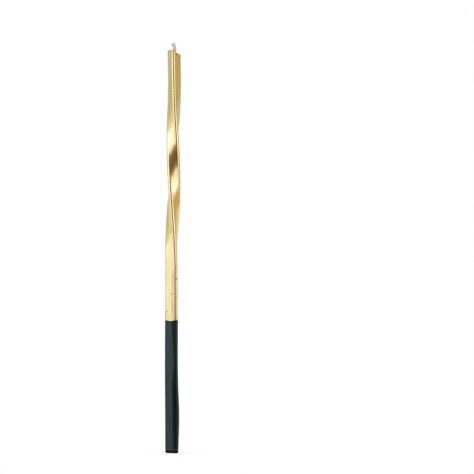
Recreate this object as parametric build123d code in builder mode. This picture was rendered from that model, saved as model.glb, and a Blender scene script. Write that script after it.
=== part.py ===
from build123d import *
from math import cos, pi, radians, sin
import os

# A spiral birthday candle: a three-sided wax stick, twisted in its middle, with a cotton wick
# through its core, a gold lacquer coat over the whole stick and a black dip over the lower third.
# Millimetres, +Z up along the candle, origin at the centre of the foot's end, front towards -Y.

# Stick, measured over the gold coat
BODY_LENGTH = 157.0  # from the foot's end to the tip, at the middle of the slanted cut
FACE_FLAT = 3.3  # flat of each of the three faces, between its rounded edges
EDGE_RADIUS = 0.9  # rounding of the three long edges
TIP_FALL_SIDE = 12.0  # degrees, how the tip's rough cut falls towards +X
TIP_FALL_BACK = 8.0  # degrees, how it falls towards +Y
EDGE_COUNT = 3

# Twist, clockwise from below to above
FOOT_TURN = 71.0  # degrees from +X, the way that one long edge faces below the twist
TWIST_ANGLE = 166.0  # degrees, from the lower end of the twist to its upper end
TWIST_LENGTH = 81.0  # length of the twisted stretch, with its eases
TIP_STRAIGHT = 9.0  # straight upper end, between the twist and the tip
TWIST_EASE = 20.0  # at each end of the stretch, where the twist builds up or dies away
TWIST_STEPS = 24  # sections that the twisted stretch is drawn through

# Gold lacquer and black dip
COAT_THICKNESS = 0.15
DIP_THICKNESS = 0.08  # over the gold coat
DIP_HEIGHT = 52.0  # from the foot's end to the dip's upper rim
DIP_FLOOR = 0.8  # black layer under the stick's lower end
FOOT_ROUND = 0.65  # rounding of the foot's lower rim
DIP_RIM_ROUND = 0.05  # rounding of the dip's upper rim

# Wick
WICK_DIAMETER = 1.1
WICK_STEM = 2.2  # bare cord above the tip, up to its tuft
WICK_LEAN = 14.0  # degrees, how far the bare cord has turned towards -X at the tuft
TUFT_LENGTH = 1.1  # the cut end, where the strands have opened a little
TUFT_DIAMETER = 1.5

TWIST_END = BODY_LENGTH - TIP_STRAIGHT
TWIST_START = TWIST_END - TWIST_LENGTH
HALF_SIDE_ANGLE = pi / EDGE_COUNT
EDGE_CENTRE_RADIUS = FACE_FLAT / 2 / sin(HALF_SIDE_ANGLE)  # from the axis to an edge's centre of rounding
STOCK_TOP = BODY_LENGTH + 2 * EDGE_CENTRE_RADIUS  # stock that the slanted cut takes off


def turn_at(height):
    """Turn of the stick's section at a height: an even twist that eases in and out."""
    along = min(max(height - TWIST_START, 0), TWIST_LENGTH)
    rate = TWIST_ANGLE / (TWIST_LENGTH - TWIST_EASE)
    left = TWIST_LENGTH - along
    if along < TWIST_EASE:
        turned = rate * along**2 / (2 * TWIST_EASE)
    elif left < TWIST_EASE:
        turned = TWIST_ANGLE - rate * left**2 / (2 * TWIST_EASE)
    else:
        turned = rate * (along - TWIST_EASE / 2)
    return FOOT_TURN - turned


def stick_section(height, grow):
    """Rounded triangle across the stick at a height, grown outwards from the gold coat's face."""
    with BuildSketch(Plane.XY.offset(height)) as section:
        sharp_radius = EDGE_CENTRE_RADIUS + (EDGE_RADIUS + grow) / cos(HALF_SIDE_ANGLE)
        RegularPolygon(sharp_radius, EDGE_COUNT, rotation=turn_at(height))
        fillet(section.vertices(), EDGE_RADIUS + grow)
    return section.sketch


def twisted_stick(grow, foot):
    """Stick from its foot up past the tip: a straight end, the twist and a second straight end."""
    step = TWIST_LENGTH / TWIST_STEPS
    with BuildPart() as stick:
        extrude(stick_section(foot, grow), amount=TWIST_START - foot)
        loft([stick_section(TWIST_START + step * count, grow) for count in range(TWIST_STEPS + 1)])
        extrude(stick_section(TWIST_END, grow), amount=STOCK_TOP - TWIST_END)
    return stick.part


tip_cut = Plane.XY.offset(BODY_LENGTH).rotated((-TIP_FALL_BACK, TIP_FALL_SIDE, 0))
wax_stick = twisted_stick(-COAT_THICKNESS, DIP_FLOOR)
coated_stick = twisted_stick(0, DIP_FLOOR)
dipped_stick = twisted_stick(DIP_THICKNESS, 0)

# Wax core, with the wick's bore along its axis
with BuildPart() as wax_core:
    add(wax_stick)
    split(bisect_by=tip_cut, keep=Keep.BOTTOM)
    with Locations((0, 0, BODY_LENGTH)):
        Hole(WICK_DIAMETER / 2)

# Gold coat, a thin sleeve over the wax from the tip to the stick's lower end
with BuildPart() as gold_coat:
    add(coated_stick)
    add(wax_stick, mode=Mode.SUBTRACT)
    split(bisect_by=tip_cut, keep=Keep.BOTTOM)

# Black dip, a cup over the lower third of the coated stick
with BuildPart() as black_dip:
    add(dipped_stick)
    split(bisect_by=Plane.XY.offset(DIP_HEIGHT), keep=Keep.BOTTOM)
    fillet(black_dip.edges().group_by(Axis.Z)[0], FOOT_ROUND)
    fillet(black_dip.edges().group_by(Axis.Z)[-1], DIP_RIM_ROUND)
    add(coated_stick, mode=Mode.SUBTRACT)

# Wick, from the stick's lower end to its tuft
with BuildPart() as wick:
    with BuildLine(Plane.XZ) as cord:
        core_run = Line((0, DIP_FLOOR), (0, BODY_LENGTH))
        stem = JernArc(core_run @ 1, core_run % 1, WICK_STEM / radians(WICK_LEAN), WICK_LEAN)
    with BuildSketch(Plane.XY.offset(DIP_FLOOR)):
        Circle(WICK_DIAMETER / 2)
    sweep(path=cord.line)
    for along, diameter in ((0, WICK_DIAMETER), (TUFT_LENGTH, TUFT_DIAMETER)):
        with BuildSketch(Plane(stem @ 1 + (stem % 1) * along, z_dir=stem % 1)):
            Circle(diameter / 2)
    loft()

os.makedirs("parts", exist_ok=True)
for name, piece in (
    ("wick", wick),
    ("wax_core", wax_core),
    ("gold_coat", gold_coat),
    ("black_dip", black_dip),
):
    piece.part.label = name
    export_step(piece.part, f"parts/{name}.step")
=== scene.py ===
"""Looks of a spiral birthday candle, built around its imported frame.

Four pieces stand for the four solids: a gold coat, a black dip, a wax core and a cotton wick.
Metres, +Z up along the candle from the foot's end, the front towards -Y.
"""

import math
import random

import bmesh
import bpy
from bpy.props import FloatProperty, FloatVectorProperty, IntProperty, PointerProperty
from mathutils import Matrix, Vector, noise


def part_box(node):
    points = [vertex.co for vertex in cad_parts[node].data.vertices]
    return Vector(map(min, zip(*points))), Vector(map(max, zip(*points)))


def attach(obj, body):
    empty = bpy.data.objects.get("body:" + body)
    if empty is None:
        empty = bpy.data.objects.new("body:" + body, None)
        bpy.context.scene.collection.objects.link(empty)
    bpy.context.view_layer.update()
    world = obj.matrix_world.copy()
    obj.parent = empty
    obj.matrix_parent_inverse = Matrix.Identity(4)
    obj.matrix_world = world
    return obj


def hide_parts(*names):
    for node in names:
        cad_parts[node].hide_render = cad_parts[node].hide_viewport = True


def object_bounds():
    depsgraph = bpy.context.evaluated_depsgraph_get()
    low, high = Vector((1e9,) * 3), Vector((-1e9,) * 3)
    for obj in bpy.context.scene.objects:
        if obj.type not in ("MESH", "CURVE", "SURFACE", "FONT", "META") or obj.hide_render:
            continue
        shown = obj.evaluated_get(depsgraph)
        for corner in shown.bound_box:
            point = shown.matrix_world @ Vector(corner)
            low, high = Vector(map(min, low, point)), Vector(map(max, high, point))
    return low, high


bl_info = {
    "name": "Spiral Birthday Candle",
    "version": (1, 0, 0),
    "blender": (4, 5, 0),
    "location": "View3D > Sidebar > Candle",
    "description": "Gold coat, black dip, wax core and cotton wick of a twisted birthday candle",
    "category": "Object",
}

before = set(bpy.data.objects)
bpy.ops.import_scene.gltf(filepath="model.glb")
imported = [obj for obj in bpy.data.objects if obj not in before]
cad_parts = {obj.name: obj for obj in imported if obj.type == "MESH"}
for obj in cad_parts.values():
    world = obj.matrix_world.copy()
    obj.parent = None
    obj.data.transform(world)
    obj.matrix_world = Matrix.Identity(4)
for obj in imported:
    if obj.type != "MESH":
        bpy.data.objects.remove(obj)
CAD_LOW, CAD_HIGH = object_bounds()
STICK_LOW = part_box("gold_coat")[0]
DIP_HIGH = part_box("black_dip")[1]
WICK_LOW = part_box("wick")[0]

MM = 0.001
BODY = "root"

# Stick
EDGE_COUNT = 3
HALF_SIDE_ANGLE = math.pi / EDGE_COUNT
EDGE_STEPS = 12  # facets round each long edge
FLAT_CUTS = 7  # cuts across each face
RING_STEP = 0.4 * MM  # height of one ring of facets
SHARP_ANGLE = math.radians(50)  # edges that turn more than this stay crisp
STICK_WAVES = (2.2 * MM, 7 * MM)  # lengths of the ripple's waves, across the stick and along it

# Slight bow that hand twisting leaves in the stick: height, and how far it lies towards +X
BOW = (
    (0 * MM, 0.2 * MM),
    (40 * MM, -0.08 * MM),
    (79 * MM, -0.21 * MM),
    (105 * MM, 0.03 * MM),
    (143 * MM, 0.26 * MM),
    (157 * MM, 0 * MM),
)

# Rough cut at the tip
SLIVER = 0.03 * MM  # points closer than this after the cut become one
IN_PLANE = 0.001 * MM  # points closer than this to the cut's plane lie in it
TIP_CUTS = 8  # cuts across the wax's end, between the wick and the coat
TIP_REACH = 3 * MM  # stretch below the tip that the rough cut pulls up and down
COARSE_GRAIN = 1.1 * MM
FINE_GRAIN = 0.35 * MM
FINE_LEVEL = 1 * MM  # level at which the fine grain's noise is read, away from the coarse one's
FINE_SHARE = 0.35  # height of the fine grain, as a share of the coarse one's
CHIP_SLOPE = 1.8  # how fast the chip deepens towards the rim
BREAK_STEP = 0.5 * MM  # width of the step down to the tip's lower break
COLLAR_HEIGHT = 0.35 * MM  # how far the wax climbs up the wick
COLLAR_REACH = 0.28 * MM  # distance from the wick over which the wax falls off again

# Black dip
DIP_WAVES = (2.5 * MM, 12 * MM)  # lengths of the ripple's waves, across the dip and along it
FOOT_STEPS = 6  # facets round the foot's lower rim
RIM_STEPS = 3  # facets round the upper rim
RIM_REACH = 2 * MM  # stretch below the upper rim that moves with it
RIM_GRAIN = 2.4 * MM  # size of the upper rim's rises and falls

# Wick
STRANDS = 3
STRAND_SIDES = 10
LAY_STEPS = 14  # rings in one full turn of the strands
SWAY_REACH = 2 * MM  # stretch of the cord, up to the tip, over which it sways off the axis
OPEN_REACH = 0.7 * MM  # stretch above the tip over which the bare cord opens
OPEN_LIMIT = 1.2  # most that the fibres beyond the tuft open, as a share of its own opening
END_SPREAD = 0.35  # most by which a strand ends short, as a share of the tuft's length
WICK_SEED = 7  # of the draws for the strands' ends and the fibres
FIBRE_SIDES = 4
FIBRE_RADII = (0.022 * MM, 0.008 * MM)  # at the root and at the end
FIBRE_LENGTHS = (0.15 * MM, 0.5 * MM)  # shortest and longest
FIBRE_ROOT = 0.1 * MM  # depth of a fibre's root below its strand's end
FIBRE_TILT = 0.35  # radians, the usual tilt of a fibre

# Marks in the finishes
CREASE_PLACE = -0.7 * MM  # crease in the lower front face, off the face's middle
CREASE_WIDTH = 0.17 * MM
CREASE_END = (80 * MM, 70 * MM)  # heights between which the crease dies away
RIM_SHADOW_REACH = 0.6 * MM  # how far the painted shadow reaches down from the tip's cut
# Nicks in the gold, painted as dark spots of shade with no dent in the surface, the two by the tip as
# the shadow below its cut: place on the straight stick before its twist, and radius
PAINTED_NICKS = (
    ((-1.45 * MM, -2.4 * MM, 68.1 * MM), 0.5 * MM),
    ((-1.9 * MM, -0.62 * MM, 62.2 * MM), 0.36 * MM),
    ((-1.9 * MM, 0.76 * MM, 63.8 * MM), 0.28 * MM),
    ((-0.5 * MM, 2.43 * MM, 155.2 * MM), 0.7 * MM),
    ((1.6 * MM, 1.2 * MM, 156 * MM), 0.55 * MM),
)
THIN_RIM = 1.7 * MM  # height of the dip's rim where the film is thin, most in its upper third; the gold shows through there, and the band is also painted shade that mirrors little
SHADED_FOOT = (1.4 * MM, 0.8 * MM)  # heights between which the foot stops mirroring towards its end, as painted shade

# Stage, in metres
SENSOR = 36.0  # millimetres
FLOOR_RADIUS = 0.02
FLOOR_COLOUR = (0.8, 0.8, 0.8)
TENT_RADIUS = 0.8
TENT_LOW = -0.5
TENT_HIGH = 0.9
TENT_SIDES = 96
SEAM_HEIGHT = 0.15  # where the tent's leaning seams stand at their bearings
SEAM_LEAN = 50  # degrees round the tent for each metre up
DIM_RISE = (-0.065, 0.02)  # heights between which the tent's light grows to its full level
LOW_TENT = (0.02, 0.028)  # heights between which the dim wall round the foot ends above
DEEP_TENT = (-0.1, -0.18)  # heights between which the dim wall round the foot ends below
UPPER_TENT = (0.07, 0.13)  # heights between which the middle walls give way to the upper ones
LEFT_LAMP_RISE = (0.125, 0.15)  # heights between which the left lamp's light sets in
RIGHT_LAMP_RISE = (0.06, 0.1)  # heights between which the right lamp's light sets in
BAR_LOW = (0.19, 0.17)  # heights between which a bar in front of the lamps begins
BAR_HIGH = (0.215, 0.235)  # heights between which the bar ends
BLACK = (0, 0, 0)
WHITE = (1, 1, 1)

# Each point's place on the straight stick or strand, before it was twisted
STRAIGHT = "straight"


def length_property(name, description, default):
    """Property that holds a length."""
    return FloatProperty(name=name, description=description, default=default, unit="LENGTH")


def angle_property(name, description, degrees):
    """Property that holds an angle, with its default in degrees."""
    default = math.radians(degrees)
    return FloatProperty(name=name, description=description, default=default, subtype="ANGLE")


def colour_property(name, description, default):
    """Property that holds a colour."""
    return FloatVectorProperty(
        name=name,
        description=description,
        default=default,
        subtype="COLOR",
        min=0,
        max=1,
    )


class CANDLE_PG_stick(bpy.types.PropertyGroup):
    """Three-sided stick, measured over its gold coat"""

    length: length_property(
        "Length",
        "From the foot's end to the middle of the tip's slanted cut",
        157 * MM,
    )
    face_flat: length_property("Face flat", "Flat of each face, between its rounded edges", 3.3 * MM)
    edge_radius: length_property("Edge radius", "Rounding of the three long edges", 0.9 * MM)
    face_crown: length_property(
        "Face crown",
        "How far the middle of a face swells over the flat",
        0.08 * MM,
    )
    coat_thickness: length_property("Coat thickness", "Thickness of the gold lacquer", 0.15 * MM)
    foot_turn: angle_property(
        "Foot turn",
        "The way that one long edge faces below the twist, from +X",
        71,
    )
    twist_angle: angle_property("Twist", "Turn from the lower end of the twist to its upper end", 166)
    twist_length: length_property(
        "Twist length",
        "Length of the twisted stretch, with its eases",
        81 * MM,
    )
    twist_ease: length_property(
        "Twist ease",
        "Length at each end of the twist where it builds up or dies away",
        20 * MM,
    )
    tip_straight: length_property(
        "Straight tip",
        "Straight upper end, between the twist and the tip",
        9 * MM,
    )
    tip_fall_side: angle_property("Tip falls sideways", "How the tip's rough cut falls towards +X", 12)
    tip_fall_back: angle_property("Tip falls back", "How the tip's rough cut falls towards +Y", 8)
    tip_rough: length_property(
        "Tip roughness",
        "How deep the rough cut bites below its plane on average",
        0.2 * MM,
    )
    chip_angle: angle_property("Chip angle", "Where the tip's rim has a chip, from +X", -158)
    chip_depth: length_property("Chip depth", "Depth of the chip in the tip's rim", 0.15 * MM)
    chip_width: length_property("Chip width", "Half the width of the chip in the tip's rim", 0.6 * MM)
    break_depth: length_property(
        "Break depth",
        "How much lower the tip has broken off on its +X side",
        0.5 * MM,
    )
    break_side: length_property("Break side", "Where the lower break begins, towards +X", 0.3 * MM)
    ripple: length_property(
        "Ripple",
        "Height of the slight waves that hand twisting leaves in the faces",
        0.018 * MM,
    )


class CANDLE_PG_dip(bpy.types.PropertyGroup):
    """Black dip over the lower third"""

    height: length_property("Height", "From the foot's end to the dip's upper rim", DIP_HIGH.z)
    thickness: length_property("Thickness", "Thickness over the gold coat", 0.08 * MM)
    face_crown: length_property(
        "Face crown",
        "How far the dip swells in the middle of a face, where the film draws together",
        0.17 * MM,
    )
    foot_round: length_property("Foot rounding", "Rounding of the foot's lower rim", 0.65 * MM)
    rim_round: length_property("Rim rounding", "Rounding of the dip's upper rim", 0.04 * MM)
    rim_wave: length_property("Rim wave", "How far the upper rim wanders up and down", 0.2 * MM)
    rim_sag: length_property(
        "Rim sag",
        "How much lower the upper rim lies in the middle of a face than at the edges",
        0.37 * MM,
    )
    run_height: length_property(
        "Run height",
        "Height of the middle of the thick run down the +X face",
        14.5 * MM,
    )
    run_length: length_property("Run length", "Half the length of the thick run", 11.5 * MM)
    run_bulge: length_property("Run bulge", "How far the thick run stands out", 0.55 * MM)
    ripple: length_property("Ripple", "Height of the slow waves in the dipped film", 0.02 * MM)


class CANDLE_PG_wick(bpy.types.PropertyGroup):
    """Cotton wick of three strands"""

    diameter: length_property("Diameter", "Diameter of the whole cord", 1.1 * MM)
    lay: length_property("Lay", "Length of one full turn of the strands", 1.8 * MM)
    strand: length_property(
        "Strand",
        "Diameter of one of the three strands, which press into each other",
        0.7 * MM,
    )
    stem: length_property("Stem", "Bare cord above the tip, up to its tuft", 2.2 * MM)
    lean: angle_property("Lean", "How far the bare cord has turned towards -X at the tuft", 20)
    sway: length_property(
        "Sway",
        "How far the bare cord stands off the axis towards +X where it leaves the wax",
        0.4 * MM,
    )
    stem_open: FloatProperty(
        name="Stem opening",
        description="Width of the bare cord, as a multiple of the diameter that the wax holds it to",
        default=1.3,
    )
    tuft_length: length_property(
        "Tuft length",
        "Length of the cut end, where the strands open a little",
        0.8 * MM,
    )
    tuft_open: FloatProperty(
        name="Tuft opening",
        description="Width of the cut end, as a multiple of the diameter that the wax holds it to",
        default=1.7,
    )
    fibres: IntProperty(
        name="Fibres",
        description="Loose cotton fibres at the end of each strand",
        default=26,
    )


class CANDLE_PG_finish(bpy.types.PropertyGroup):
    """Colours of the four materials"""

    gold: colour_property("Gold", "Gold lacquer", (0.95, 0.75, 0.42))
    deep_gold: colour_property("Deep gold", "Gold lacquer where it lies thicker", (0.9, 0.68, 0.34))
    # Painted shade: gold darkened in the pits, in the crease, at the nicks and in a painted shadow just
    # below the tip's cut
    shaded_gold: colour_property(
        "Shaded gold",
        "Gold lacquer in pits, in the crease and where the tip is shadowed",
        (0.24, 0.16, 0.06),
    )
    black: colour_property("Black", "Black dip", (0.002, 0.006, 0.007))
    thin_black: colour_property("Thin black", "Black dip where it lies thin", (0.004, 0.011, 0.013))
    # Partly real, partly painted: the gold showing through the thin film, and painted shade in a band
    # that mirrors little
    rim_black: colour_property(
        "Rim black",
        "Black dip at its upper rim, where the gold shines through",
        (0.04, 0.043, 0.022),
    )
    wax: colour_property("Wax", "Ivory wax of the core", (0.93, 0.86, 0.69))
    clear_wax: colour_property("Clear wax", "Wax where it is denser and clearer", (0.86, 0.76, 0.56))
    cotton: colour_property("Cotton", "Waxed cotton of the wick", (0.88, 0.8, 0.66))
    shaded_cotton: colour_property("Shaded cotton", "Cotton between the fibres", (0.66, 0.58, 0.45))


class CANDLE_PG_stage(bpy.types.PropertyGroup):
    """Camera, floor and light tent round the candle"""

    view_width: length_property("View width", "Width of the picture at the candle", 185.2 * MM)
    view_side: length_property(
        "View side",
        "How far the middle of the picture lies to the candle's right",
        25.01 * MM,
    )
    view_height: length_property(
        "View height",
        "Height of the middle of the picture above the foot's end",
        84.5 * MM,
    )
    roll: angle_property("Roll", "Turn of the picture, by which the candle leans to the right", 0.26)
    lens: FloatProperty(
        name="Lens",
        description="Focal length in millimetres, on a sensor of 36 mm",
        default=200,
    )
    tent_level: FloatProperty(
        name="Tent level",
        description="Brightness of the light tent, by which its colours are multiplied",
        default=1.2,
    )
    low_level: FloatProperty(
        name="Low level",
        description="Brightness of the tent below the foot, as a share of the level further up",
        default=0.84,
    )
    lamp_level: FloatProperty(
        name="Lamp level",
        description="Brightness of the tent in front of the two lamps",
        default=2.1,
    )
    room_level: FloatProperty(
        name="Room level",
        description="Light that the white room throws on matt surfaces, where 1 is white",
        default=0.8,
    )
    floor_lift: FloatProperty(
        name="Floor lift",
        description="How much whiter the floor shows than the light on it makes it",
        default=0.42,
    )
    soft_box: colour_property(
        "Soft boxes",
        "Tent wall where the two soft boxes shine through",
        (0.85, 0.91, 0.97),
    )
    box_edge: colour_property(
        "Soft boxes' edge",
        "Tent wall where the light of a soft box dies away",
        (0.68, 0.69, 0.53),
    )
    left_wall: colour_property(
        "Left wall",
        "Tent wall on the candle's left and behind it",
        (0.46, 0.51, 0.45),
    )
    right_wall: colour_property(
        "Right wall",
        "Tent wall on the candle's right, which is warm",
        (0.52, 0.38, 0.17),
    )
    right_corner: colour_property(
        "Right corner",
        "Tent wall on the candle's right, towards the back",
        (0.43, 0.4, 0.24),
    )
    gap_edge: colour_property(
        "Lens gap's edge",
        "Tent wall beside the gap, in half shade",
        (0.28, 0.23, 0.11),
    )
    lens_gap: colour_property(
        "Lens gap",
        "Dark gap in the tent that the lens looks through",
        (0.15, 0.105, 0.055),
    )
    low_box: colour_property(
        "Low soft box",
        "Tent wall in front of the foot's left, where the soft box is a little dimmer",
        (0.76, 0.82, 0.85),
    )
    low_left: colour_property(
        "Low left wall",
        "Tent wall on the foot's left, where little light comes in",
        (0.09, 0.09, 0.09),
    )
    low_right: colour_property(
        "Low right wall",
        "Tent wall on the foot's right, which gives the edge there its light rim",
        (0.8, 0.74, 0.74),
    )
    low_edge: colour_property(
        "Low right wall's edge",
        "Tent wall on the foot's right, towards the lens",
        (0.54, 0.46, 0.4),
    )
    low_gap: colour_property(
        "Low gap",
        "Dark gap in the tent at the foot's height",
        (0.075, 0.07, 0.075),
    )
    back_wall: colour_property("Back wall", "Tent wall behind the candle", (0.78, 0.78, 0.76))


# The stick and its twist


def eased(share):
    """Share held between 0 and 1, with a soft start and end."""
    held = min(max(share, 0), 1)
    return held**2 * (3 - 2 * held)


def off_edges(angle):
    """0 at the long edges and 1 in the middle of the faces, at an angle from one edge."""
    return (1 - math.cos(EDGE_COUNT * angle)) / 2


def edges_at(verts):
    """Edges that meet in any of the points."""
    return {edge for vert in verts for edge in vert.link_edges}


def edge_centre_radius(stick):
    """Distance from the axis to an edge's centre of rounding."""
    return stick.face_flat / 2 / math.sin(HALF_SIDE_ANGLE)


def turn_at(stick, height):
    """Turn of the stick's section at a height: an even twist that eases in and out."""
    start = stick.length - stick.tip_straight - stick.twist_length
    along = min(max(height - start, 0), stick.twist_length)
    left = stick.twist_length - along
    rate = stick.twist_angle / (stick.twist_length - stick.twist_ease)
    if along < stick.twist_ease:
        turned = rate * along**2 / (2 * stick.twist_ease)
    elif left < stick.twist_ease:
        turned = stick.twist_angle - rate * left**2 / (2 * stick.twist_ease)
    else:
        turned = rate * (along - stick.twist_ease / 2)
    return stick.foot_turn - turned


def tip_normal(stick):
    """Direction that the tip's slanted cut faces."""
    back = Matrix.Rotation(-stick.tip_fall_back, 3, "X")
    side = Matrix.Rotation(stick.tip_fall_side, 3, "Y")
    return back @ side @ Vector((0, 0, 1))


def add_section(mesh, stick, grow, crown):
    """Rounded triangle across the stick with one edge towards +X, grown from the gold coat's face."""
    radius = stick.edge_radius + grow
    centre_radius = edge_centre_radius(stick)
    corners = bmesh.ops.create_circle(
        mesh,
        cap_ends=True,
        segments=EDGE_COUNT,
        radius=centre_radius + radius / math.cos(HALF_SIDE_ANGLE),
        matrix=Matrix.Rotation(-math.pi / 2, 4, "Z"),
    )["verts"]
    rounded = bmesh.ops.bevel(
        mesh,
        geom=corners,
        offset=radius * math.tan(HALF_SIDE_ANGLE),
        offset_type="OFFSET",
        affect="VERTICES",
        segments=EDGE_STEPS,
        profile=0.5,
        material=-1,
    )["verts"]
    side_angle = 2 * HALF_SIDE_ANGLE
    for vert in rounded:
        edge_angle = round(math.atan2(vert.co.y, vert.co.x) / side_angle) * side_angle
        centre = centre_radius * Vector((math.cos(edge_angle), math.sin(edge_angle), 0))
        vert.co = centre + radius * (vert.co - centre).normalized()
    flats = [edge for edge in mesh.edges if edge.calc_length() > radius]
    bmesh.ops.subdivide_edges(mesh, edges=flats, cuts=FLAT_CUTS)
    for vert in mesh.verts:
        swell = off_edges(math.atan2(vert.co.y, vert.co.x))
        vert.co += vert.co.normalized() * crown * swell
    bmesh.ops.delete(mesh, geom=mesh.faces[:], context="FACES_ONLY")
    return mesh.edges[:]


def draw_up(mesh, ring, rise, step):
    """Extrudes a closed ring straight up, in even rings no higher than the step."""
    made = bmesh.ops.extrude_edge_only(mesh, edges=ring)["geom"]
    top_ring = [part for part in made if isinstance(part, bmesh.types.BMEdge)]
    verts = [part for part in made if isinstance(part, bmesh.types.BMVert)]
    bmesh.ops.translate(mesh, verts=verts, vec=(0, 0, rise))
    uprights = edges_at(verts).difference(top_ring)
    bmesh.ops.subdivide_edges(mesh, edges=list(uprights), cuts=math.ceil(rise / step) - 1)
    return top_ring


def note_straight_places(mesh):
    """Keeps each point's place before the twist, for patterns that follow it."""
    layer = mesh.verts.layers.float_vector[STRAIGHT]
    for vert in mesh.verts:
        vert[layer] = vert.co


def twist(mesh, turn):
    """Turns every point about the candle's axis by the turn at its height."""
    for vert in mesh.verts:
        vert.co.rotate(Matrix.Rotation(turn(vert.co.z), 3, "Z"))


def draw_stick(mesh, stick, grow):
    """Twisted stick from its lower end up past the tip, as an open wall in an empty mesh."""
    mesh.verts.layers.float_vector.new(STRAIGHT)
    top = stick.length + 2 * edge_centre_radius(stick)
    ring = add_section(mesh, stick, grow, stick.face_crown)
    bmesh.ops.translate(mesh, verts=mesh.verts[:], vec=(0, 0, STICK_LOW.z))
    draw_up(mesh, ring, top - STICK_LOW.z, RING_STEP)
    note_straight_places(mesh)
    twist(mesh, lambda height: turn_at(stick, height))


def cut_tip(mesh, stick):
    """Takes off what stands above the tip's slanted cut."""
    bmesh.ops.bisect_plane(
        mesh,
        geom=mesh.verts[:] + mesh.edges[:] + mesh.faces[:],
        plane_co=(0, 0, stick.length),
        plane_no=tip_normal(stick),
        clear_outer=True,
    )
    bmesh.ops.remove_doubles(mesh, verts=mesh.verts[:], dist=SLIVER)


def open_rim(mesh, low, high):
    """Open edges of the wall between two heights."""
    return [
        edge
        for edge in mesh.edges
        if edge.is_boundary and all(low < vert.co.z < high for vert in edge.verts)
    ]


def tip_wander(stick, place):
    """How far the rough cut lies above or below its plane at a place."""
    coarse = noise.noise(Vector((place.x, place.y, 0)) / COARSE_GRAIN)
    fine = noise.noise(Vector((place.x, place.y, FINE_LEVEL)) / FINE_GRAIN)
    rough = stick.tip_rough * (coarse + FINE_SHARE * fine - 1)
    chip_way = Vector((math.cos(stick.chip_angle), math.sin(stick.chip_angle)))
    out = max(0, place.xy.dot(chip_way)) / stick.face_flat
    aside = place.xy.dot(chip_way.orthogonal()) / stick.chip_width
    chip = stick.chip_depth * min(1, CHIP_SLOPE * out) ** 3 * math.exp(-(aside**2))
    lower_break = stick.break_depth * eased((place.x - stick.break_side) / BREAK_STEP)
    return rough - chip - lower_break


def roughen_tip(mesh, stick):
    """Pulls the last stretch below the tip up and down to the rough cut."""
    normal = tip_normal(stick)
    for vert in mesh.verts:
        below = (Vector((0, 0, stick.length)) - vert.co).dot(normal)
        near = max(0, 1 - below / TIP_REACH)
        vert.co.z += near * tip_wander(stick, vert.co)


def ripple(mesh, height, across, along):
    """Moves the walls sideways in slow waves of the given lengths."""
    mesh.normal_update()
    moves = []
    for vert in mesh.verts:
        place = Vector((vert.co.x / across, vert.co.y / across, vert.co.z / along))
        moves.append(vert.normal.xy * height * noise.noise(place))
    for vert, move in zip(mesh.verts, moves):
        vert.co.xy += move


def bow_at(height):
    """How far the bowed stick lies towards +X at a height."""
    for (low, start), (high, end) in zip(BOW, BOW[1:]):
        if height < high:
            return start + (end - start) * eased((height - low) / (high - low))
    return BOW[-1][1]


def add_object(mesh, name, material):
    """Makes a finished mesh an object of the scene."""
    data = bpy.data.meshes.new(name)
    mesh.to_mesh(data)
    mesh.free()
    data.materials.append(material)
    made = bpy.data.objects.new(name, data)
    bpy.context.scene.collection.objects.link(made)
    return made


def add_piece(mesh, name, node, material):
    """Bows the finished mesh and makes it a piece that rides on the candle, in place of a node, which
    it hides.
    """
    for vert in mesh.verts:
        vert.co.x += bow_at(vert.co.z)
    piece = add_object(mesh, name, material)
    piece.data.shade_smooth()
    piece.data.set_sharp_from_angle(angle=SHARP_ANGLE)
    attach(piece, BODY)
    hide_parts(node)


# Materials


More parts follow.
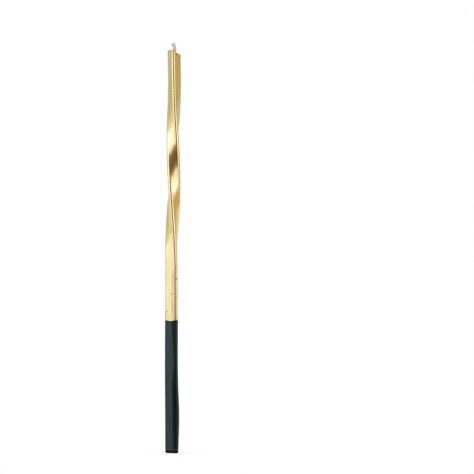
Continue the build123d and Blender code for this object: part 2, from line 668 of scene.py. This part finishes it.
class Nodes:
    """The node tree of a material or a world, with short calls for what the finishes share."""

    def __init__(self, owner):
        owner.use_nodes = True
        self.tree = owner.node_tree

    def node(self, kind, **settings):
        """New node with its settings."""
        made = self.tree.nodes.new(kind)
        for key, value in settings.items():
            setattr(made, key, value)
        return made

    def link(self, source, target):
        """Joins an output socket to an input socket."""
        self.tree.links.new(source, target)

    def object_places(self):
        """Object coordinates."""
        return self.node("ShaderNodeTexCoord").outputs["Object"]

    def straight_places(self):
        """Places before the twist, kept on the mesh."""
        return self.node("ShaderNodeAttribute", attribute_name=STRAIGHT).outputs["Vector"]

    def stretched(self, places, across, along):
        """Places measured in pattern lengths across the candle and along it."""
        mapping = self.node("ShaderNodeMapping")
        mapping.inputs["Scale"].default_value = (1 / across, 1 / across, 1 / along)
        self.link(places, mapping.inputs["Vector"])
        return mapping.outputs["Vector"]

    def noise(self, places, across, along, detail=2.0):
        """Noise between 0 and 1, with grains of the given lengths."""
        made = self.node("ShaderNodeTexNoise")
        made.inputs["Scale"].default_value = 1
        made.inputs["Detail"].default_value = detail
        self.link(self.stretched(places, across, along), made.inputs["Vector"])
        return made.outputs["Fac"]

    def band(self, value, low, high, to=(0, 1)):
        """Value mapped softly from one range to another, and held to it."""
        made = self.node("ShaderNodeMapRange", interpolation_type="SMOOTHSTEP")
        made.inputs["From Min"].default_value = low
        made.inputs["From Max"].default_value = high
        made.inputs["To Min"].default_value = to[0]
        made.inputs["To Max"].default_value = to[1]
        self.link(value, made.inputs["Value"])
        return made.outputs["Result"]

    def combined(self, operation, first, second):
        """Two values worked into one."""
        made = self.node("ShaderNodeMath", operation=operation)
        self.link(first, made.inputs[0])
        self.link(second, made.inputs[1])
        return made.outputs["Value"]

    def product(self, first, second):
        """Two values multiplied."""
        return self.combined("MULTIPLY", first, second)

    def larger(self, first, second):
        """The larger of two values."""
        return self.combined("MAXIMUM", first, second)

    def mix(self, share, first, second):
        """Colour between two colours, each of them plain or a pattern."""
        made = self.node("ShaderNodeMix", data_type="RGBA")
        self.link(share, made.inputs["Factor"])
        for socket, colour in (("A", first), ("B", second)):
            if isinstance(colour, bpy.types.NodeSocket):
                self.link(colour, made.inputs[socket])
            else:
                made.inputs[socket].default_value = (*colour, 1)
        return made.outputs["Result"]

    def measure(self, operation, places, other):
        """Distance to a place, or length along a direction."""
        made = self.node("ShaderNodeVectorMath", operation=operation)
        made.inputs[1].default_value = other
        self.link(places, made.inputs[0])
        return made.outputs["Value"]

    def split(self, places):
        """X, Y and Z of places."""
        made = self.node("ShaderNodeSeparateXYZ")
        self.link(places, made.inputs["Vector"])
        return made.outputs

    def seen(self):
        """1 to the camera and in reflections and glass, 0 as light on matt surfaces."""
        path = self.node("ShaderNodeLightPath").outputs
        seen_or_mirrored = self.larger(path["Is Camera Ray"], path["Is Glossy Ray"])
        return self.larger(seen_or_mirrored, path["Is Transmission Ray"])

    def round_wall(self, stops, lean=0):
        """Colour by the bearing round the candle, from the front towards +X, in degrees.

        The stops hold at the seams' middle height and move by the lean, in degrees for each metre.
        """
        turned = self.node("ShaderNodeMapping")
        turned.inputs["Rotation"].default_value = (0, 0, math.pi / 2)
        self.link(self.object_places(), turned.inputs["Vector"])
        sweep = self.node("ShaderNodeTexGradient", gradient_type="RADIAL")
        self.link(turned.outputs["Vector"], sweep.inputs["Vector"])
        shift = self.node("ShaderNodeMapRange", clamp=False)
        shift.inputs["From Min"].default_value = SEAM_HEIGHT
        shift.inputs["From Max"].default_value = SEAM_HEIGHT + 1
        shift.inputs["To Max"].default_value = -lean / 360
        self.link(self.split(turned.outputs["Vector"])["Z"], shift.inputs["Value"])
        bearing = self.combined("ADD", sweep.outputs["Fac"], shift.outputs["Result"])
        ramp = self.node("ShaderNodeValToRGB")
        ramp.color_ramp.interpolation = "EASE"
        elements = ramp.color_ramp.elements
        for degrees, colour in stops:
            elements.new(0.5 + degrees / 360).color = (*colour, 1)
        # The ramp's own two ends take the colour of the first stop
        for end in (0, -1):
            elements[end].color = elements[1].color
        self.link(bearing, ramp.inputs["Fac"])
        return ramp.outputs["Color"]

    def bump(self, value, depth, under=None):
        """Surface raised by a value, in metres, over another bump."""
        made = self.node("ShaderNodeBump")
        made.inputs["Strength"].default_value = 1
        made.inputs["Distance"].default_value = depth
        self.link(value, made.inputs["Height"])
        if under:
            self.link(under, made.inputs["Normal"])
        return made.outputs["Normal"]


class Finish(Nodes):
    """A material on its way to a finish, with its shader."""

    def __init__(self, name):
        self.material = bpy.data.materials.new(name)
        super().__init__(self.material)
        self.shader = self.tree.nodes["Principled BSDF"]


def gold_pits(finish, places):
    """Small pits in the gold, in patches."""
    cells = finish.node("ShaderNodeTexVoronoi", feature="F1")
    cells.inputs["Scale"].default_value = 1
    pattern = finish.stretched(places, across=1.3 * MM, along=1.5 * MM)
    finish.link(pattern, cells.inputs["Vector"])
    pit = finish.band(cells.outputs["Distance"], 0.22, 0.1)
    patches = finish.band(finish.noise(places, across=5 * MM, along=7 * MM), 0.52, 0.6)
    return finish.product(pit, patches)


def gold_crease(finish, straight):
    """Crease down the face that lies towards -X on the straight stick. It dies away in the twist."""
    side = finish.split(straight)
    left = finish.band(side["Y"], CREASE_PLACE - CREASE_WIDTH, CREASE_PLACE)
    right = finish.band(side["Y"], CREASE_PLACE + CREASE_WIDTH, CREASE_PLACE)
    face = finish.band(side["X"], 0, -1 * MM)
    lower = finish.band(side["Z"], *CREASE_END)
    unbroken = finish.band(finish.noise(straight, across=1 * MM, along=5 * MM), 0.2, 0.6)
    crease = finish.product(finish.product(left, right), finish.product(face, lower))
    return finish.product(crease, unbroken)


def tip_rim_shadow(finish, stick, straight, places):
    """Painted shadow just below the tip's cut, in patches."""
    cut = tip_normal(stick)
    cut.rotate(Matrix.Rotation(-turn_at(stick, stick.length), 3, "Z"))
    rim_height = stick.length * cut.z
    height = finish.measure("DOT_PRODUCT", straight, cut)
    near_rim = finish.band(height, rim_height - RIM_SHADOW_REACH, rim_height)
    patches = finish.band(finish.noise(places, across=0.8 * MM, along=1.2 * MM), 0.3, 0.6)
    return finish.product(near_rim, patches)


def gold_lacquer(colours, stick):
    """Glossy gold lacquer: lines along the stick, orange peel, pits and a crease, with painted shade in
    the pits, the crease and at nicks, and a painted shadow just below the tip's cut.
    """
    finish = Finish("gold_lacquer")
    shader = finish.shader
    straight = finish.straight_places()
    places = finish.object_places()
    lines = finish.noise(straight, across=0.45 * MM, along=26 * MM)
    peel = finish.noise(places, across=0.9 * MM, along=1.6 * MM)
    cloud = finish.noise(places, across=3.5 * MM, along=9 * MM)
    pits = gold_pits(finish, places)
    crease = gold_crease(finish, straight)
    rim_shadow = tip_rim_shadow(finish, stick, straight, places)

    # Painted shade: shares of darker gold in the pits, in the crease, in the painted shadow below the
    # tip's cut and at the nicks
    painted_shade = [
        finish.band(pits, 0, 1, to=(0, 0.8)),
        finish.band(crease, 0, 1, to=(0, 0.6)),
        finish.band(rim_shadow, 0, 1, to=(0, 0.8)),
    ]
    # Painted shade: a dark spot at each nick
    for place, radius in PAINTED_NICKS:
        from_painted_nick = finish.measure("DISTANCE", straight, place)
        painted_shade.append(finish.band(from_painted_nick, radius, radius / 3, to=(0, 0.9)))
    film = finish.mix(finish.band(cloud, 0.35, 0.7), colours.gold, colours.deep_gold)
    for share in painted_shade:
        film = finish.mix(share, film, colours.shaded_gold)
    finish.link(film, shader.inputs["Base Color"])
    finish.link(finish.band(peel, 0.25, 0.75, to=(0.1, 0.15)), shader.inputs["Roughness"])
    shader.inputs["Metallic"].default_value = 1
    shader.inputs["Coat Weight"].default_value = 0.6
    shader.inputs["Coat Roughness"].default_value = 0.12

    surface = finish.bump(lines, 0.003 * MM)
    surface = finish.bump(peel, 0.0015 * MM, surface)
    surface = finish.bump(pits, -0.04 * MM, surface)
    surface = finish.bump(crease, -0.005 * MM, surface)
    finish.link(surface, shader.inputs["Normal"])
    return finish.material


def black_lacquer(colours):
    """Satin black dip: slow sags, a fine grain and dust nibs, a thin upper rim where the gold shows
    through, and painted shade at that rim and at the foot's end, where they mirror next to nothing.
    """
    finish = Finish("black_lacquer")
    shader = finish.shader
    places = finish.object_places()
    height = finish.split(places)["Z"]
    sag = finish.noise(places, across=1.8 * MM, along=14 * MM)
    grain = finish.noise(places, across=0.22 * MM, along=0.3 * MM)
    nibs = finish.band(finish.noise(places, across=0.5 * MM, along=0.5 * MM), 0.72, 0.8)
    rim = finish.band(height, DIP_HIGH.z - THIN_RIM, DIP_HIGH.z - THIN_RIM / 3)
    dulled_as_shade = finish.larger(rim, finish.band(height, *SHADED_FOOT))

    film = finish.mix(finish.band(sag, 0.35, 0.7), colours.black, colours.thin_black)
    # Upper rim: the gold shows through the thin film, and the band is painted shade
    film = finish.mix(rim, film, colours.rim_black)
    finish.link(film, shader.inputs["Base Color"])
    # Painted shade: as a metal, a dark film mirrors next to nothing, so the upper rim and the foot's
    # end stay dark
    finish.link(dulled_as_shade, shader.inputs["Metallic"])
    finish.link(finish.band(grain, 0.2, 0.8, to=(0.07, 0.12)), shader.inputs["Roughness"])
    shader.inputs["IOR"].default_value = 1.5
    shader.inputs["Specular IOR Level"].default_value = 0.7
    shader.inputs["Specular Tint"].default_value = (0.72, 0.93, 0.97, 1)

    surface = finish.bump(sag, 0.006 * MM)
    surface = finish.bump(grain, 0.001 * MM, surface)
    surface = finish.bump(nibs, 0.006 * MM, surface)
    finish.link(surface, shader.inputs["Normal"])
    return finish.material


def ivory_wax(colours):
    """Ivory wax: cloudy, a little clear below the surface, with the marks of a rough cut."""
    finish = Finish("ivory_wax")
    shader = finish.shader
    places = finish.object_places()
    cloud = finish.noise(places, across=0.9 * MM, along=0.9 * MM)
    crumbs = finish.noise(places, across=0.16 * MM, along=0.16 * MM, detail=4)
    wax = finish.mix(finish.band(cloud, 0.35, 0.7), colours.wax, colours.clear_wax)
    finish.link(wax, shader.inputs["Base Color"])
    finish.link(finish.band(crumbs, 0.3, 0.7, to=(0.42, 0.6)), shader.inputs["Roughness"])
    shader.inputs["Subsurface Weight"].default_value = 0.08
    shader.inputs["Subsurface Radius"].default_value = (1.0, 0.7, 0.4)
    shader.inputs["Subsurface Scale"].default_value = 0.5 * MM
    finish.link(finish.bump(crumbs, 0.015 * MM), shader.inputs["Normal"])
    return finish.material


def waxed_cotton(colours):
    """Waxed cotton: fibres that run along each strand, dark between them."""
    finish = Finish("waxed_cotton")
    shader = finish.shader
    straight = finish.straight_places()
    fibres = finish.noise(straight, across=0.06 * MM, along=1.4 * MM, detail=3)
    soil = finish.band(finish.noise(straight, across=0.4 * MM, along=0.7 * MM), 0.15, 0.5, to=(0.55, 1))
    light = finish.product(finish.band(fibres, 0.32, 0.62), soil)
    cotton = finish.mix(light, colours.shaded_cotton, colours.cotton)
    finish.link(cotton, shader.inputs["Base Color"])
    finish.link(finish.band(fibres, 0.3, 0.7, to=(0.75, 0.6)), shader.inputs["Roughness"])
    shader.inputs["Sheen Weight"].default_value = 0.25
    shader.inputs["Sheen Roughness"].default_value = 0.5
    finish.link(finish.bump(fibres, 0.03 * MM), shader.inputs["Normal"])
    return finish.material


# Gold coat


class CANDLE_OT_gold_coat(bpy.types.Operator):
    """Draw the gold coat over the twisted stick"""

    bl_idname = "candle.gold_coat"
    bl_label = "Gold coat"

    def execute(self, context):
        stick = context.scene.candle_stick
        mesh = bmesh.new()
        draw_stick(mesh, stick, 0)
        ripple(mesh, stick.ripple, *STICK_WAVES)
        cut_tip(mesh, stick)
        roughen_tip(mesh, stick)
        bmesh.ops.recalc_face_normals(mesh, faces=mesh.faces[:])
        bmesh.ops.solidify(mesh, geom=mesh.faces[:], thickness=stick.coat_thickness)
        lacquer = gold_lacquer(context.scene.candle_finish, stick)
        add_piece(mesh, "gold_sleeve", "gold_coat", lacquer)
        return {"FINISHED"}


# Wax core


def draw_bore(mesh, wick):
    """Wall of the wick's bore, from the stick's lower end up past the tip."""
    around = EDGE_COUNT * (EDGE_STEPS + FLAT_CUTS + 1)
    bore = bmesh.ops.create_circle(mesh, segments=around, radius=wick.diameter / 2)["verts"]
    bmesh.ops.translate(mesh, verts=bore, vec=(0, 0, STICK_LOW.z))
    draw_up(mesh, list(edges_at(bore)), CAD_HIGH.z, CAD_HIGH.z)


def close_ends(mesh, stick):
    """Closes both ends between the stick's wall and the bore, the tip with a fine grid."""
    bmesh.ops.bridge_loops(mesh, edges=open_rim(mesh, 0, stick.length / 2))
    rim = open_rim(mesh, stick.length / 2, CAD_HIGH.z)
    tip = bmesh.ops.bridge_loops(mesh, edges=rim)["faces"]
    spokes = {edge for face in tip for edge in face.edges}.difference(rim)
    bmesh.ops.subdivide_edges(mesh, edges=list(spokes), cuts=TIP_CUTS, use_grid_fill=True)


def raise_collar(mesh, stick, wick):
    """Lets the wax at the tip climb a little way up the wick."""
    normal = tip_normal(stick)
    for vert in mesh.verts:
        above = (vert.co - Vector((0, 0, stick.length))).dot(normal)
        if abs(above) < IN_PLANE:
            from_wick = math.hypot(vert.co.x, vert.co.y) - wick.diameter / 2
            vert.co.z += COLLAR_HEIGHT * math.exp(-from_wick / COLLAR_REACH)


class CANDLE_OT_wax_core(bpy.types.Operator):
    """Draw the wax core, with the wick's bore and a rough-cut tip"""

    bl_idname = "candle.wax_core"
    bl_label = "Wax core"

    def execute(self, context):
        stick = context.scene.candle_stick
        wick = context.scene.candle_wick
        mesh = bmesh.new()
        draw_stick(mesh, stick, -stick.coat_thickness)
        ripple(mesh, stick.ripple, *STICK_WAVES)
        draw_bore(mesh, wick)
        cut_tip(mesh, stick)
        close_ends(mesh, stick)
        raise_collar(mesh, stick, wick)
        roughen_tip(mesh, stick)
        bmesh.ops.recalc_face_normals(mesh, faces=mesh.faces[:])
        wax = ivory_wax(context.scene.candle_finish)
        add_piece(mesh, "wax_stick", "wax_core", wax)
        return {"FINISHED"}


# Black dip


def round_edges(mesh, edges, radius, steps):
    """Rounds edges to a radius, in a number of facets."""
    bmesh.ops.bevel(
        mesh,
        geom=edges,
        offset=radius,
        offset_type="OFFSET",
        affect="EDGES",
        segments=steps,
        profile=0.5,
        material=-1,
    )


def swell_run(mesh, dip):
    """Lets the thick run stand out towards +X."""
    for vert in mesh.verts:
        facing = max(0, vert.co.x / math.hypot(vert.co.x, vert.co.y))
        along = (vert.co.z - dip.run_height) / dip.run_length
        vert.co.x += dip.run_bulge * facing**2 * math.exp(-(along**2))


def wander_rim(mesh, stick, dip):
    """Lets the upper rim wander up and down, and sag in the middle of each face."""
    for vert in mesh.verts:
        near_rim = max(0, 1 - (dip.height - vert.co.z) / RIM_REACH)
        wave = dip.rim_wave * noise.noise(Vector((vert.co.x, vert.co.y, 0)) / RIM_GRAIN)
        sag = dip.rim_sag * off_edges(math.atan2(vert.co.y, vert.co.x) - stick.foot_turn)
        vert.co.z += near_rim**2 * (wave - sag)


class CANDLE_OT_black_dip(bpy.types.Operator):
    """Draw the black dip as a cup over the lower third of the stick"""

    bl_idname = "candle.black_dip"
    bl_label = "Black dip"

    def execute(self, context):
        stick = context.scene.candle_stick
        dip = context.scene.candle_dip
        mesh = bmesh.new()
        ring = add_section(mesh, stick, dip.thickness, dip.face_crown)
        foot = bmesh.ops.contextual_create(mesh, geom=ring)["faces"]
        clear_of_foot = 2 * dip.foot_round
        ring = draw_up(mesh, ring, clear_of_foot, clear_of_foot)
        top_ring = draw_up(mesh, ring, dip.height - clear_of_foot, RING_STEP)
        lid = bmesh.ops.contextual_create(mesh, geom=top_ring)["faces"]
        twist(mesh, lambda height: turn_at(stick, height))
        bmesh.ops.recalc_face_normals(mesh, faces=mesh.faces[:])
        round_edges(mesh, foot[0].edges[:], dip.foot_round, FOOT_STEPS)
        ripple(mesh, dip.ripple, *DIP_WAVES)
        swell_run(mesh, dip)
        bmesh.ops.inset_region(mesh, faces=lid, thickness=dip.thickness, use_even_offset=True)
        round_edges(mesh, top_ring, dip.rim_round, RIM_STEPS)
        floor = bmesh.ops.extrude_discrete_faces(mesh, faces=lid)["faces"][0]
        bmesh.ops.translate(mesh, verts=floor.verts[:], vec=(0, 0, STICK_LOW.z - dip.height))
        wander_rim(mesh, stick, dip)
        lacquer = black_lacquer(context.scene.candle_finish)
        add_piece(mesh, "dipped_foot", "black_dip", lacquer)
        return {"FINISHED"}


# Cotton wick


def add_strand(mesh, wick, number, end_height):
    """One straight strand beside the cord's axis, and the middle of its cut end."""
    angle = 2 * math.pi * number / STRANDS
    radius = wick.strand / 2
    side = Vector((math.cos(angle), math.sin(angle), 0)) * (wick.diameter / 2 - radius)
    ring = bmesh.ops.create_circle(
        mesh,
        cap_ends=True,
        segments=STRAND_SIDES,
        radius=radius,
        matrix=Matrix.Translation(side + Vector((0, 0, WICK_LOW.z))),
    )["verts"]
    rise = end_height - WICK_LOW.z
    top_ring = draw_up(mesh, list(edges_at(ring)), rise, wick.lay / LAY_STEPS)
    bmesh.ops.contextual_create(mesh, geom=top_ring)
    return side + Vector((0, 0, end_height))


def add_fibre(mesh, draws, end, strand_radius):
    """One loose fibre at a strand's cut end."""
    length = draws.uniform(*FIBRE_LENGTHS)
    angle = draws.uniform(0, 2 * math.pi)
    off = strand_radius * math.sqrt(draws.random())
    root = end + Vector((off * math.cos(angle), off * math.sin(angle), -FIBRE_ROOT))
    tilt = Matrix.Rotation(draws.gauss(0, FIBRE_TILT), 4, "X")
    tilt = tilt @ Matrix.Rotation(draws.gauss(0, FIBRE_TILT), 4, "Y")
    bmesh.ops.create_cone(
        mesh,
        cap_ends=True,
        segments=FIBRE_SIDES,
        radius1=FIBRE_RADII[0],
        radius2=FIBRE_RADII[1],
        depth=length,
        matrix=Matrix.Translation(root) @ tilt @ Matrix.Translation((0, 0, length / 2)),
    )


def leaned_over(wick, stick, place):
    """Place on the cord after its end sways out, opens and leans towards -X."""
    along = place.z - stick.length
    swayed = wick.sway * min(max(1 + along / SWAY_REACH, 0), 1)
    if along <= 0:
        return place + Vector((swayed, 0, 0))
    bare = min(along / OPEN_REACH, 1)
    cut_end = min(max((along - wick.stem) / wick.tuft_length, 0), OPEN_LIMIT)
    width = 1 + (wick.stem_open - 1) * bare + (wick.tuft_open - wick.stem_open) * cut_end
    across = place.xy * width
    bend_radius = wick.stem / wick.lean
    angle = min(along, wick.stem) / bend_radius
    beyond = max(along - wick.stem, 0)
    back = bend_radius * (1 - math.cos(angle)) + beyond * math.sin(angle)
    rise = bend_radius * math.sin(angle) + beyond * math.cos(angle)
    return Vector((
        swayed - back + across.x * math.cos(angle),
        across.y,
        stick.length + rise + across.x * math.sin(angle),
    ))


class CANDLE_OT_cotton_wick(bpy.types.Operator):
    """Lay the wick's three strands, from the stick's lower end to their tuft"""

    bl_idname = "candle.cotton_wick"
    bl_label = "Cotton wick"

    def execute(self, context):
        stick = context.scene.candle_stick
        wick = context.scene.candle_wick
        draws = random.Random(WICK_SEED)
        mesh = bmesh.new()
        mesh.verts.layers.float_vector.new(STRAIGHT)
        top = stick.length + wick.stem + wick.tuft_length
        ends = []
        for number in range(STRANDS):
            end_height = top - draws.uniform(0, END_SPREAD) * wick.tuft_length
            ends.append(add_strand(mesh, wick, number, end_height))
        note_straight_places(mesh)
        for end in ends:
            for _ in range(wick.fibres):
                add_fibre(mesh, draws, end, wick.strand / 2)
        twist(mesh, lambda height: 2 * math.pi * height / wick.lay)
        for vert in mesh.verts:
            vert.co = leaned_over(wick, stick, vert.co)
        bmesh.ops.recalc_face_normals(mesh, faces=mesh.faces[:])
        cotton = waxed_cotton(context.scene.candle_finish)
        add_piece(mesh, "cotton_wick", "wick", cotton)
        return {"FINISHED"}


# Stage


def add_floor(stage):
    """Round white floor that keeps the candle's shadow."""
    finish = Finish("white_floor")
    shader = finish.shader
    shader.inputs["Base Color"].default_value = (*FLOOR_COLOUR, 1)
    shader.inputs["Roughness"].default_value = 1
    shader.inputs["Specular IOR Level"].default_value = 0
    shader.inputs["Emission Color"].default_value = (*WHITE, 1)
    lift = finish.band(finish.seen(), 0, 1, to=(0, stage.floor_lift))
    finish.link(lift, shader.inputs["Emission Strength"])
    mesh = bmesh.new()
    bmesh.ops.create_circle(mesh, cap_ends=True, segments=TENT_SIDES, radius=FLOOR_RADIUS)
    add_object(mesh, "floor", finish.material)


def tent_wall(finish, stage, height):
    """Colours of the tent: a soft box on each side, a gap for the lens, side walls and a back."""
    front = (
        (-80, stage.box_edge),
        (-71, stage.soft_box),
        (-33, stage.soft_box),
        (-22, stage.gap_edge),
        (-12, stage.lens_gap),
        (8, stage.lens_gap),
        (17, stage.gap_edge),
        (29, stage.soft_box),
        (54, stage.soft_box),
    )
    upper = finish.round_wall((
        (-172, stage.back_wall),
        (-154, stage.left_wall),
        (-112, stage.left_wall),
        *front,
        (76, stage.right_wall),
        (92, stage.right_wall),
        (107, stage.right_corner),
        (114, stage.right_corner),
        (130, stage.left_wall),
        (154, stage.left_wall),
        (172, stage.back_wall),
    ), SEAM_LEAN)
    middle = finish.round_wall((
        (-172, stage.back_wall),
        (-158, stage.box_edge),
        *front,
        (66, stage.box_edge),
        (78, stage.right_wall),
        (98, stage.right_wall),
        (112, stage.box_edge),
        (150, stage.box_edge),
        (172, stage.back_wall),
    ), SEAM_LEAN)
    lower = finish.round_wall((
        (-172, stage.low_left),
        (-104, stage.low_left),
        (-76, stage.box_edge),
        (-60, stage.low_box),
        (-50, stage.low_box),
        (-34, stage.soft_box),
        (-30, stage.soft_box),
        (-26, stage.low_gap),
        (16, stage.low_gap),
        (48, stage.low_edge),
        (98, stage.low_edge),
        (116, stage.low_right),
        (172, stage.low_right),
    ))
    clear_of_foot = finish.larger(finish.band(height, *LOW_TENT), finish.band(height, *DEEP_TENT))
    wall = finish.mix(clear_of_foot, lower, middle)
    return finish.mix(finish.band(height, *UPPER_TENT), wall, upper)


def tent_light(finish, stage, height):
    """Brightness of the tent: a lamp on each side, a bar in front of them, and less light low down."""
    left_lamp = finish.round_wall(((-76, BLACK), (-64, WHITE), (-46, WHITE), (-34, BLACK)))
    left_lamp = finish.product(left_lamp, finish.band(height, *LEFT_LAMP_RISE))
    right_lamp = finish.round_wall(((34, BLACK), (43, WHITE), (54, WHITE), (65, BLACK)))
    right_lamp = finish.product(right_lamp, finish.band(height, *RIGHT_LAMP_RISE))
    clear_of_bar = finish.larger(finish.band(height, *BAR_LOW), finish.band(height, *BAR_HIGH))
    lit = finish.product(finish.larger(left_lamp, right_lamp), clear_of_bar)
    level = finish.band(lit, 0, 1, to=(stage.tent_level, stage.lamp_level))
    return finish.product(level, finish.band(height, *DIM_RISE, to=(stage.low_level, 1)))


def add_tent(stage):
    """Round tent of light, which the camera sees only in what mirrors it."""
    finish = Finish("light_tent")
    shader = finish.shader
    height = finish.split(finish.object_places())["Z"]
    shader.inputs["Base Color"].default_value = (*BLACK, 1)
    shader.inputs["Specular IOR Level"].default_value = 0
    finish.link(tent_wall(finish, stage, height), shader.inputs["Emission Color"])
    finish.link(tent_light(finish, stage, height), shader.inputs["Emission Strength"])
    mesh = bmesh.new()
    bmesh.ops.create_circle(mesh, segments=TENT_SIDES, radius=TENT_RADIUS)
    draw_up(mesh, mesh.edges[:], TENT_HIGH - TENT_LOW, TENT_HIGH - TENT_LOW)
    bmesh.ops.translate(mesh, verts=mesh.verts[:], vec=(0, 0, TENT_LOW))
    tent = add_object(mesh, "light_tent", finish.material)
    tent.visible_camera = False


def light_room(stage):
    """White room: white where it is seen or mirrored, and softer as light on matt surfaces."""
    world = bpy.data.worlds.new("white_room")
    bpy.context.scene.world = world
    room = Nodes(world)
    background = room.tree.nodes["Background"]
    background.inputs["Color"].default_value = (*WHITE, 1)
    level = room.band(room.seen(), 0, 1, to=(stage.room_level, 1))
    room.link(level, background.inputs["Strength"])


def set_camera(stage):
    """Camera at the candle's mid height, square to the candle's axis but for a slight roll."""
    view = bpy.data.cameras.new("camera")
    view.sensor_width = SENSOR
    view.lens = stage.lens
    camera = bpy.data.objects.new("camera", view)
    distance = stage.view_width * stage.lens / SENSOR
    camera.location = (stage.view_side, -distance, stage.view_height)
    camera.rotation_euler = (math.pi / 2, -stage.roll, 0)
    bpy.context.scene.collection.objects.link(camera)
    bpy.context.scene.camera = camera


class CANDLE_OT_stage(bpy.types.Operator):
    """Set the floor, the light tent, the white room and the camera"""

    bl_idname = "candle.stage"
    bl_label = "Stage"

    def execute(self, context):
        stage = context.scene.candle_stage
        add_floor(stage)
        add_tent(stage)
        light_room(stage)
        set_camera(stage)
        context.scene.view_settings.view_transform = "Standard"
        return {"FINISHED"}


# Sidebar and registering


class CANDLE_PT_sidebar(bpy.types.Panel):
    """Sizes, colours and steps of the candle"""

    bl_label = "Spiral candle"
    bl_idname = "CANDLE_PT_sidebar"
    bl_space_type = "VIEW_3D"
    bl_region_type = "UI"
    bl_category = "Candle"

    def draw(self, context):
        for name in PROPERTY_GROUPS:
            box = self.layout.box()
            box.label(text=name.replace("candle_", "").capitalize())
            group = getattr(context.scene, name)
            for key in group.__annotations__:
                box.prop(group, key)
        for operator in OPERATORS:
            self.layout.operator(operator.bl_idname)


PROPERTY_GROUPS = {
    "candle_stick": CANDLE_PG_stick,
    "candle_dip": CANDLE_PG_dip,
    "candle_wick": CANDLE_PG_wick,
    "candle_finish": CANDLE_PG_finish,
    "candle_stage": CANDLE_PG_stage,
}
OPERATORS = (
    CANDLE_OT_gold_coat,
    CANDLE_OT_wax_core,
    CANDLE_OT_black_dip,
    CANDLE_OT_cotton_wick,
    CANDLE_OT_stage,
)


def register():
    """Registers the classes and puts the sizes and colours on the scene."""
    for group in PROPERTY_GROUPS.values():
        bpy.utils.register_class(group)
    for name, group in PROPERTY_GROUPS.items():
        setattr(bpy.types.Scene, name, PointerProperty(type=group))
    for operator in OPERATORS:
        bpy.utils.register_class(operator)
    bpy.utils.register_class(CANDLE_PT_sidebar)


def unregister():
    """Takes the classes and the scene's properties away again."""
    bpy.utils.unregister_class(CANDLE_PT_sidebar)
    for operator in reversed(OPERATORS):
        bpy.utils.unregister_class(operator)
    for name in PROPERTY_GROUPS:
        delattr(bpy.types.Scene, name)
    for group in PROPERTY_GROUPS.values():
        bpy.utils.unregister_class(group)


def main():
    """Builds the candle and its stage."""
    register()
    bpy.ops.candle.gold_coat()
    bpy.ops.candle.wax_core()
    bpy.ops.candle.black_dip()
    bpy.ops.candle.cotton_wick()
    bpy.ops.candle.stage()


if __name__ == "__main__":
    main()
